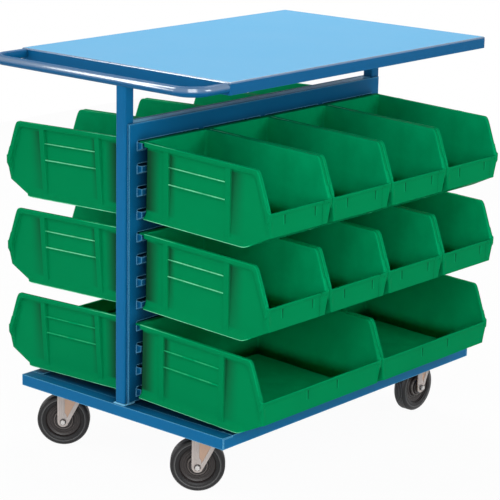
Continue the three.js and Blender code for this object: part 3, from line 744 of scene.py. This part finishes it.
def hang_bins(material):
    meshes = {}
    for body in frame["bodies"]:
        if not body.startswith("bin_"):
            continue
        low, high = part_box(body)
        side = 1 if low.y > 0 else -1
        rim_half = round((high.x - low.x) / 2 / MM, 1)
        if rim_half not in meshes:
            meshes[rim_half] = hopper_bin(rim_half).mesh(f"hopper_bin_{len(meshes) + 1}")
        reach = (BIN_LIP_REACH + BIN_BEAD) * math.cos(BIN_TILT) - (BIN_LIP_DROP - 1) * math.sin(BIN_TILT)
        drop = BIN_FLOOR_LENGTH * math.sin(BIN_TILT) + BIN_HEIGHT * math.cos(BIN_TILT)
        far = high.y if side > 0 else -low.y
        place = Vector(((low.x + high.x) / 2, side * (far - reach * MM), low.z + drop * MM))
        turn = Matrix.Rotation(0 if side > 0 else math.pi, 4, "Z") @ Matrix.Rotation(-BIN_TILT, 4, "X")
        matrix = Matrix.Translation(place) @ turn
        show(body.replace("bin_", "hopper_bin_"), meshes[rim_half], material, body, [body], matrix)


# Upright, table, deck and handle


def tube_bar(low, high, axis, radius=4):
    """A square tube over a node's box, with rounded corners"""
    size = high - low
    middle = (low + high) / 2
    across = [size[index] for index in range(3) if index != axis]
    outline = rounded_box_outline(across[0], across[1], radius * MM, 5)
    half = size[axis] / 2
    shape = prism(outline, -half, half)
    if axis == 0:
        shape.moved(ALONG_X)
    return shape.moved(Matrix.Translation(middle))


def weld_bead(path, radius):
    """A rippled bead along a path of points"""
    points = []
    for start, end in zip(path, path[1:]):
        start, end = Vector(start), Vector(end)
        steps = max(2, int((end - start).length / (1.6 * MM)))
        points += [start.lerp(end, step / steps) for step in range(steps)]
    points.append(Vector(path[-1]))

    def section(index):
        swell = radius * (1 + 0.16 * math.sin(index * 2.1) + ends_random.uniform(-0.08, 0.08))
        return [(swell * math.cos(turn * math.pi / 4), swell * math.sin(turn * math.pi / 4)) for turn in range(8)]

    bead = swept(points, section)
    # The bead takes the paint's lighter colour: a painted highlight
    bead.painted_light_tint_and_gloss = [1.0] * len(bead.vertices)
    return bead


def post_welds(low, high, level):
    """Beads round the foot of a post"""
    near, far = low - Vector((1, 1, 0)) * 0.6 * MM, high + Vector((1, 1, 0)) * 0.6 * MM
    corners = [(near.x, near.y, level), (far.x, near.y, level), (far.x, far.y, level), (near.x, far.y, level),
               (near.x, near.y, level)]
    return weld_bead(corners, 2.2 * MM)


def build_upright(paint):
    for end in ("far", "handle"):
        low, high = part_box(f"post_{end}")
        show(f"post_tube_{end}", tube_bar(low, high, 2), paint, "frame", [f"post_{end}"])
        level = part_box(f"deck_end_bar_{end}")[1].z + 1.4 * MM
        show(f"post_weld_{end}", post_welds(low, high, level), paint, "frame")
    for rail in ("top_rail", "bottom_rail"):
        low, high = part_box(rail)
        tube = tube_bar(low, high, 0)
        # Painted light on the rail tops
        tube.painted_light_tint_and_gloss = [1.0 if point.z > high.z - 0.2 * MM else 0.0 for point in tube.vertices]
        show(f"{rail}_tube", tube, paint, "frame", [rail])
    for face, _ in SIDES:
        dress(f"louver_panel_{face}", paint)


TABLE_STEEL = 2.5
TABLE_EDGE = 3.2


def side_points(outline, step):
    """A closed outline with more points along its long sides, near both ends and every step between"""
    points = []
    for start, end in zip(outline, outline[1:] + outline[:1]):
        start, end = Vector(start), Vector(end)
        length = (end - start).length
        points.append(start)
        if length > step:
            count = int(length / step)
            shares = [6 * MM / length] + [index / count for index in range(1, count)] + [1 - 6 * MM / length]
            points += [start.lerp(end, share) for share in shares]
    return points


def table_pan(low, high):
    """A folded pan: flat top, rounded edges, and an apron with its corners closed"""
    middle = (low + high) / 2

    def ring(inset, level, corner):
        width, depth = high.x - low.x - 2 * inset * MM, high.y - low.y - 2 * inset * MM
        outline = side_points(rounded_box_outline(width, depth, corner * MM, 4), 60 * MM)
        return [(point.x + middle.x, point.y + middle.y, level) for point in outline]

    steel, edge = TABLE_STEEL, TABLE_EDGE
    under = high.z - steel * MM
    rings = [ring(steel + 2, under, 1.2), ring(steel + 0.6, under - 0.6 * MM, 1.2), ring(steel, under - 2 * MM, 1.2),
             ring(steel, low.z + 0.5 * MM, 1.2), ring(steel - 0.5, low.z, 1.6), ring(0.5, low.z, 2.6),
             ring(0, low.z + 0.5 * MM, 3)]
    rings.append(ring(0, high.z - (edge + 0.5) * MM, 3))
    sides = len(rings) * len(rings[0])
    for turn in range(0, 91, 15):
        angle = math.radians(turn)
        rings.append(ring(edge * (1 - math.cos(angle)), high.z - edge * (1 - math.sin(angle)) * MM, 3))
    rings.append(ring(edge + 0.8, high.z, 2.4))
    # Painted light on the top, with a coat; a coat alone on the rounded edges
    painted_light_tint_and_gloss = [0.0] * sides + [0.84] * (len(rings) * len(rings[0]) - sides - len(rings[0])) + [1.0] * len(rings[0])
    return Shape().skin(rings, painted_light_tint_and_gloss=painted_light_tint_and_gloss)


def build_table(paint, under_paint):
    low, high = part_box("work_table")
    show("table_pan", table_pan(low, high), paint, "frame", ["work_table"])
    for end in ("far", "handle"):
        dress(f"cross_channel_{end}", under_paint, 0.8 * MM)


def build_deck(paint):
    dress("deck_sheet", paint)
    for node in ("deck_side_channel_back", "deck_side_channel_front", "deck_end_bar_far", "deck_end_bar_handle"):
        dress(node, paint, 0.9 * MM)


HANDLE_BEND = 45
HANDLE_BEND_STEPS = 14


def push_handle(paint):
    """The round bar, squeezed a little where its corners were bent"""
    low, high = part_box("push_handle")
    radius = (high.z - low.z) / 2
    bend = HANDLE_BEND * MM
    grip = low.x + radius
    side = high.y - radius
    level = (low.z + high.z) / 2
    path, squeeze = [(high.x, -side)], [0]
    for centre, start, end in (((grip + bend, -side + bend), -90, -180), ((grip + bend, side - bend), 180, 90)):
        for step, point in enumerate(arc(centre, bend, start, end, HANDLE_BEND_STEPS)):
            path.append(point)
            squeeze.append(math.sin(math.pi * step / HANDLE_BEND_STEPS))
        if start == -90:
            path += [(grip, -side / 3), (grip, side / 3)]
            squeeze += [0, 0]
    path.append((high.x, side))
    squeeze.append(0)

    def section(index):
        narrow = 1 - 0.2 * squeeze[index]
        tall = 1 + 0.07 * squeeze[index]
        turns = [2 * math.pi * turn / 28 for turn in range(28)]
        return [(radius * narrow * math.cos(turn), radius * tall * math.sin(turn)) for turn in turns]

    shape = swept([(x, y, level) for x, y in path], section)
    turns = [((step + 14) % 28 - 14) / 28 for step in range(28)]
    # Coat only on the band of the bar where the highlight falls
    shape.painted_light_tint_and_gloss = [0.84 * ramp(abs(turn - 0.08), 0.11, 0.05) for turn in turns] * len(path)
    show("push_handle_bar", shape, paint, "frame", ["push_handle"])


# Casters, built with the wheel's axle at the origin along Z


TYRE_RADIUS = 60.8
TYRE_HALF = 16.0


def tyre_shape():
    """Solid rubber: grooved tread, round shoulders, a ring on each side and a lip over the centre's rim"""
    outer, half = TYRE_RADIUS, TYRE_HALF
    side = [(41.4, 12.4), (41.6, 13.6), (43, 14.6), (46.5, 15.5), (48.2, 15.7), (48.7, 15.0), (49.7, 15.0),
            (50.3, 15.9), (52, 16.0), (55, 15.7), (57.2, 14.8), (59.0, 13.0), (60.2, 10.9)]
    profile = [(45.0, 11.8), (45.0, -11.8)] + [(radius, -height) for radius, height in side]
    for groove in (-9, -4.5, 0, 4.5, 9):
        profile += [(outer, groove - 1.3), (outer, groove - 1.1), (outer - 1.1, groove - 0.8),
                    (outer - 1.1, groove + 0.8), (outer, groove + 1.1), (outer, groove + 1.3)]
    profile += reversed(side)
    # Painted highlight on the groove bottoms and the side ring
    shine = {49.7: 0.2, 50.3: 0.45, 52: 0.1, outer - 1.1: 0.5}
    painted_light_tint_and_gloss = [shine.get(radius, 0.0) for radius, _ in profile]
    return lathe([(radius * MM, height * MM) for radius, height in profile], 96, painted_light_tint_and_gloss)


def wheel_centre_shape():
    """A moulded centre: rim, web with turned rings, and a hub that holds the bearing"""
    half = [(44.6, 11.4), (41, 11.2), (40.2, 10.2), (39.2, 7.6), (37, 6.4), (34.4, 6), (33.8, 6.8), (32.8, 6.8),
            (32.2, 6), (29.4, 6), (28.4, 7.4), (27.2, 7.6), (26.4, 6.8), (24.6, 7), (23.6, 9.5), (22.8, 13),
            (21.8, 14.2), (20.2, 14.2), (19.4, 13.2), (18.4, 13.6), (17.6, 17.8), (16.8, 18.4), (13, 18.5),
            (12.2, 17.6), (8.4, 17.6), (5.5, 17.6)]
    profile = [(radius, -height) for radius, height in half] + [(radius, height) for radius, height in reversed(half)]
    # Lighter on the ring round the hub and on the tops of the turned rings
    shine = {33.8: 0.3, 32.8: 0.3, 28.4: 0.35, 27.2: 0.35, 22.8: 0.8, 21.8: 1.0, 20.2: 0.8}
    painted_light_tint_and_gloss = [shine.get(radius, 0.0) for radius, _ in profile]
    return lathe([(radius * MM, height * MM) for radius, height in profile], 72, painted_light_tint_and_gloss)


def hexagon(across_flats, chamfer, low, high):
    """A nut's or bolt head's body, chamfered on its outer face"""
    radius = across_flats / math.sqrt(3)
    corners = [(radius * math.cos(math.pi / 3 * turn), radius * math.sin(math.pi / 3 * turn)) for turn in range(6)]
    step = chamfer if high > low else -chamfer
    rings = [[(x, y, low) for x, y in corners], [(x, y, high - step) for x, y in corners],
             [(x * 0.93, y * 0.93, high) for x, y in corners]]
    return Shape().skin(rings)


def axle_bolt_shape():
    grip = (18.5 + 3 + 3.5 + 1.6) * MM + 0.3 * MM
    shank = lathe([(0, -grip), (5 * MM, -grip), (5 * MM, grip), (0, grip)], 24)
    head = hexagon(10.4 * MM, 0.8 * MM, grip + 0.8 * MM, grip + 5.4 * MM)
    nut = hexagon(10.4 * MM, 0.8 * MM, -grip - 0.8 * MM, -grip - 5.4 * MM)
    washers = [lathe([(5 * MM, side * grip), (7.2 * MM, side * grip), (7.2 * MM, side * (grip + 0.8 * MM)),
                      (5 * MM, side * (grip + 0.8 * MM))], 32) for side in (-1, 1)]
    end = lathe([(0, -grip - 5.4 * MM), (3.6 * MM, -grip - 5.4 * MM), (3.2 * MM, -grip - 5.5 * MM),
                 (0, -grip - 5.5 * MM)], 20)
    # Painted shade round the nuts: the washers are painted dark
    for washer in washers:
        washer.painted_light_tint_and_gloss = [-1.0] * len(washer.vertices)
    return shank.joined_with(head, nut, end, *washers)


FORK_INSIDE = 21.5
FORK_STEEL = 3.5
FORK_SUNK = 1.8
FORK_STRIP = 17.0
FORK_EDGE = 9.0
FORK_END = 13.0
FORK_CROWN = 30.0
CASTER_TRAIL = 36.0


def fork_leg(top, side):
    """A pressed leg: a ribbed strip behind the axle, a raised sloping edge before it, and a sunk panel between"""
    front = CASTER_TRAIL + FORK_CROWN - FORK_END / 2
    touch = math.degrees(math.atan2(top, front) - math.acos(FORK_END / math.hypot(front, top)))
    slope = Vector((front, top)) - Vector(arc((0, 0), FORK_END, touch, touch, 1)[0])
    outline = [(-FORK_END, top)] + arc((0, 0), FORK_END, 180, 360 + touch, 16) + [(front, top)]
    inside, outside = FORK_INSIDE, FORK_INSIDE + FORK_STEEL
    sunk = outside - FORK_SUNK
    leg = slab(outline, inside, sunk, 1.0)
    strip = FORK_STRIP - FORK_END
    leg.joined_with(slab([(-FORK_END, top)] + arc((0, 0), FORK_END, 180, 360 + touch, 16)
                         + [(strip + 4, FORK_END + 3), (strip, FORK_END + 9), (strip, top)], sunk - 0.5, outside))
    inward = Vector((-slope.y, slope.x)).normalized() * FORK_EDGE
    low_end, high_end = Vector((front, top)) - slope * 0.98, Vector((front, top))
    edge = [low_end, high_end, (high_end.x - FORK_EDGE / slope.normalized().y, top), low_end + inward]
    leg.joined_with(slab(edge, sunk - 0.5, outside - 0.1))
    for middle in (-FORK_END + 4.5, -FORK_END + 9, -FORK_END + 13.5):
        rib = [(middle - 1.1, FORK_END + 1), (middle, FORK_END - 0.5), (middle + 1.1, FORK_END + 1),
               (middle + 1.1, top - 4), (middle - 1.1, top - 4)]
        leg.joined_with(slab(rib, outside - 0.5, outside + 0.7))
    return leg.moved(basis((1, 0, 0), (0, 0, 1), (0, side, 0)))


def slab(outline, low, high, painted_light_tint_and_gloss=0.0):
    """A flat piece of steel between two distances, from an outline in millimetres"""
    shape = prism([(x * MM, y * MM) for x, y in outline], low * MM, high * MM)
    shape.painted_light_tint_and_gloss = [painted_light_tint_and_gloss] * len(shape.vertices)
    return shape


def caster_matrix(place, turn):
    return Matrix.Translation(place) @ Matrix.Rotation(turn, 4, "Z")


def build_casters(zinc, bright_zinc, rubber, plastic):
    joints = {joint["name"]: joint for joint in frame["joints"]}
    tyre_mesh = tyre_shape().mesh("tyre")
    centre_mesh = wheel_centre_shape().mesh("wheel_centre")
    bolt_mesh = axle_bolt_shape().mesh("axle_bolt")
    for face, side in SIDES:
        pivot = Vector(joints[f"swivel_{face}"]["pos_m"])
        for kind in ("swivel", "fixed"):
            spin = joints[f"spin_{kind}_wheel_{face}"]
            place, axis = Vector(spin["pos_m"]), Vector(spin["axis"])
            turn = math.atan2(-axis.x, axis.y)
            stand = basis((0, 0, 1), (axis.y, -axis.x, 0), axis, place)
            rider = f"{kind}_wheel_{face}"
            show(f"tyre_tread_{kind}_{face}", tyre_mesh, rubber, rider, [f"tyre_{kind}_{face}"], stand)
            show(f"wheel_hub_{kind}_{face}", centre_mesh, plastic, rider,
                 [f"wheel_centre_{kind}_{face}"], stand)
            carrier = f"swivel_caster_{face}" if kind == "swivel" else "frame"
            show(f"axle_bolt_and_nut_{kind}_{face}", bolt_mesh, bright_zinc, carrier,
                 [f"axle_bolt_{kind}_{face}"], stand)
            fork_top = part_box(f"{kind}_fork_{face}")[1].z - place.z
            if kind == "fixed":
                fork_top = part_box(f"swivel_plate_{face}")[1].z - 2 * MM - place.z
            stand = caster_matrix(place, turn)
            legs = fork_leg(fork_top / MM, 1).joined_with(fork_leg(fork_top / MM, -1))
            if kind == "swivel":
                legs.joined_with(crown(fork_top / MM))
            else:
                legs.joined_with(top_plate((CASTER_TRAIL + FORK_CROWN) / 2 - FORK_END, fork_top))
            show(f"{kind}_fork_pressing_{face}", legs, zinc, carrier, [f"{kind}_fork_{face}"], stand,
                 0.7 * MM)
        build_swivel_head(face, pivot, zinc)


def crown(top):
    """The fork's crown: a bar between the legs and a disc round the king pin"""
    bar = prism([(x * MM, y * MM) for x, y in ((-13, -25), (36, -25), (36, 25), (-13, 25))],
                (top - FORK_STEEL) * MM, top * MM)
    low, high = (top - FORK_STEEL) * MM, top * MM
    disc = lathe([(7.4 * MM, low), (FORK_CROWN * MM, low), (FORK_CROWN * MM, high), (7.4 * MM, high)], 48)
    return bar.joined_with(disc.moved(Matrix.Translation((CASTER_TRAIL * MM, 0, 0))))


def top_plate(along, height):
    """A caster's top plate with its four bolts, under the deck"""
    top, bottom = height + 2 * MM, height - 2 * MM
    outline = [(x + along * MM, y) for x, y in rounded_box_outline(100 * MM, 80 * MM, 9 * MM, 4)]
    plate = prism(outline, bottom, top)
    for x in (-38, 38):
        for y in (-28, 28):
            nut = hexagon(13 * MM, 0.7 * MM, bottom, bottom - 5.5 * MM)
            plate.joined_with(nut.moved(Matrix.Translation(((along + x) * MM, y * MM, 0))))
    return plate


def build_swivel_head(face, pivot, zinc):
    low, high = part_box(f"swivel_plate_{face}")
    plate = top_plate(0, high.z - 2 * MM)
    race_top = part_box(f"ball_race_{face}")[1].z + 0.3 * MM
    bottom = high.z - 4 * MM
    cup = [(0, low.z), (9 * MM, low.z), (11 * MM, low.z + 1.2 * MM), (11 * MM, low.z + 4 * MM),
           (7 * MM, low.z + 4 * MM), (7 * MM, race_top), (24 * MM, race_top), (27.5 * MM, race_top + 0.8 * MM),
           (29.6 * MM, race_top + 3 * MM), (30 * MM, bottom), (0, bottom + 1 * MM)]
    plate.joined_with(lathe(cup, 56))
    place = Matrix.Translation((pivot.x, pivot.y, 0))
    show(f"swivel_head_{face}", plate, zinc, "frame", [f"swivel_plate_{face}"], place, 0.5 * MM)
    low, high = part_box(f"ball_race_{face}")
    middle = (low.z + high.z) / 2
    race = [(7.4 * MM, low.z), (26 * MM, low.z), (28.6 * MM, low.z + 0.8 * MM), (29.4 * MM, middle - 0.3 * MM),
            (28.4 * MM, middle), (29.4 * MM, middle + 0.3 * MM), (28.6 * MM, high.z - 0.8 * MM), (26 * MM, high.z),
            (7.4 * MM, high.z)]
    show(f"ball_race_ring_{face}", lathe(race, 56), zinc, "frame", [f"ball_race_{face}"], place)


# Stage, light and camera


def lay_floor(material):
    size = 3.2
    corners = [(-size, -size, 0), (size, -size, 0), (size, size, 0), (-size, size, 0)]
    mesh = Shape().add(corners, [[0, 1, 2, 3]]).mesh("floor")
    floor = bpy.data.objects.new("floor", mesh)
    mesh.materials.append(material)
    bpy.context.scene.collection.objects.link(floor)


def light_panel(name, place, target, size, power, roll):
    lamp = bpy.data.lights.new(name, "AREA")
    lamp.shape = "RECTANGLE"
    lamp.size, lamp.size_y = size
    lamp.energy = power
    thing = bpy.data.objects.new(name, lamp)
    thing.location = place
    aim = Vector(target) - Vector(place)
    thing.rotation_euler = (aim.to_track_quat("-Z", "Y").to_matrix() @ Matrix.Rotation(roll, 3, "Z")).to_euler()
    bpy.context.scene.collection.objects.link(thing)


FLOOR_GLOW = 0.96
WORLD_LIGHT = 0.1
LIT_FROM = (0, 0, 0.5)
# The way to each softbox from the cart, its distance, its size, how bright it makes a facing surface, and its lean
SOFTBOXES = {
    "left_key": ((-0.60, 0.63, 0.49), 9.0, (1.2, 10.2), 0.38, 26),
    "front_low": ((-0.68, -0.68, 0.20), 4.6, (2.4, 1.6), 0.26),
    "front_high": ((-0.62, -0.60, 0.70), 4.6, (2.2, 1.6), 0.24),
    "right_fill": ((0.30, -0.95, 0.42), 4.6, (2.0, 1.6), 0.21),
    "back_top": ((0.45, 0.40, 0.80), 4.0, (2.4, 1.4), 0.42),
}


def light_world():
    world = bpy.data.worlds.new("studio")
    bpy.context.scene.world = world
    world.use_nodes = True
    nodes, links = world.node_tree.nodes, world.node_tree.links
    nodes.clear()
    path = nodes.new("ShaderNodeLightPath")
    background = nodes.new("ShaderNodeBackground")
    white = nodes.new("ShaderNodeBackground")
    mix = nodes.new("ShaderNodeMixShader")
    output = nodes.new("ShaderNodeOutputWorld")
    background.inputs["Color"].default_value = (1, 1, 1, 1)
    background.inputs["Strength"].default_value = WORLD_LIGHT
    white.inputs["Color"].default_value = (1, 1, 1, 1)
    white.inputs["Strength"].default_value = 1.0
    seen = path.outputs["Is Camera Ray"]
    for ray in ("Is Glossy Ray", "Is Transmission Ray"):
        either = nodes.new("ShaderNodeMath")
        either.operation = "MAXIMUM"
        links.new(seen, either.inputs[0])
        links.new(path.outputs[ray], either.inputs[1])
        seen = either.outputs[0]
    links.new(seen, mix.inputs[0])
    links.new(background.outputs[0], mix.inputs[1])
    links.new(white.outputs[0], mix.inputs[2])
    links.new(mix.outputs[0], output.inputs["Surface"])


def softbox(name, toward, distance, size, level, lean=0.0):
    """A panel of light in one direction from the cart, as bright on a facing surface as its level says"""
    place = Vector(LIT_FROM) + Vector(toward).normalized() * distance
    light_panel(name, place, LIT_FROM, size, level * (math.pi * distance) ** 2, math.radians(lean))


def light_studio():
    light_world()
    for name, setting in SOFTBOXES.items():
        softbox(name, *setting)


def set_camera():
    camera = bpy.data.cameras.new("camera")
    camera.lens = CAMERA_LENS
    camera.sensor_width = 36
    camera.shift_x, camera.shift_y = CAMERA_SHIFT
    thing = bpy.data.objects.new("camera", camera)
    aim, up = Vector(CAMERA_AIM), Vector(CAMERA_UP)
    thing.matrix_world = basis(aim.cross(up).normalized(), up, -aim, CAMERA_PLACE)
    bpy.context.scene.collection.objects.link(thing)
    bpy.context.scene.camera = thing


def build_cart():
    # The second colour of each paint is painted light: rail tops and weld beads on the frame, the top of the table
    frame_paint = powder_coat("frame_blue", colour(0.004, 0.175, 0.425), colour(0.25, 0.65, 0.9), 0.12, 0.75, 0.0)
    table_paint = powder_coat("table_blue", colour(0.002, 0.13, 0.33), colour(0.01, 0.46, 0.87), 0.03, 0.1, 1.0)
    zinc = zinc_plate("zinc_plate", colour(0.50, 0.44, 0.41), colour(0.62, 0.56, 0.53), 0.35)
    bright_zinc = zinc_plate("bright_zinc", colour(0.62, 0.6, 0.58), colour(0.74, 0.72, 0.7), 0.5)
    hang_bins(moulded_green())
    build_upright(frame_paint)
    build_table(table_paint, frame_paint)
    build_deck(frame_paint)
    push_handle(table_paint)
    build_casters(zinc, bright_zinc, tyre_rubber(), wheel_plastic())


set_camera()
build_cart()
lay_floor(floor_white())
light_studio()
bpy.context.scene.view_settings.view_transform = "Standard"
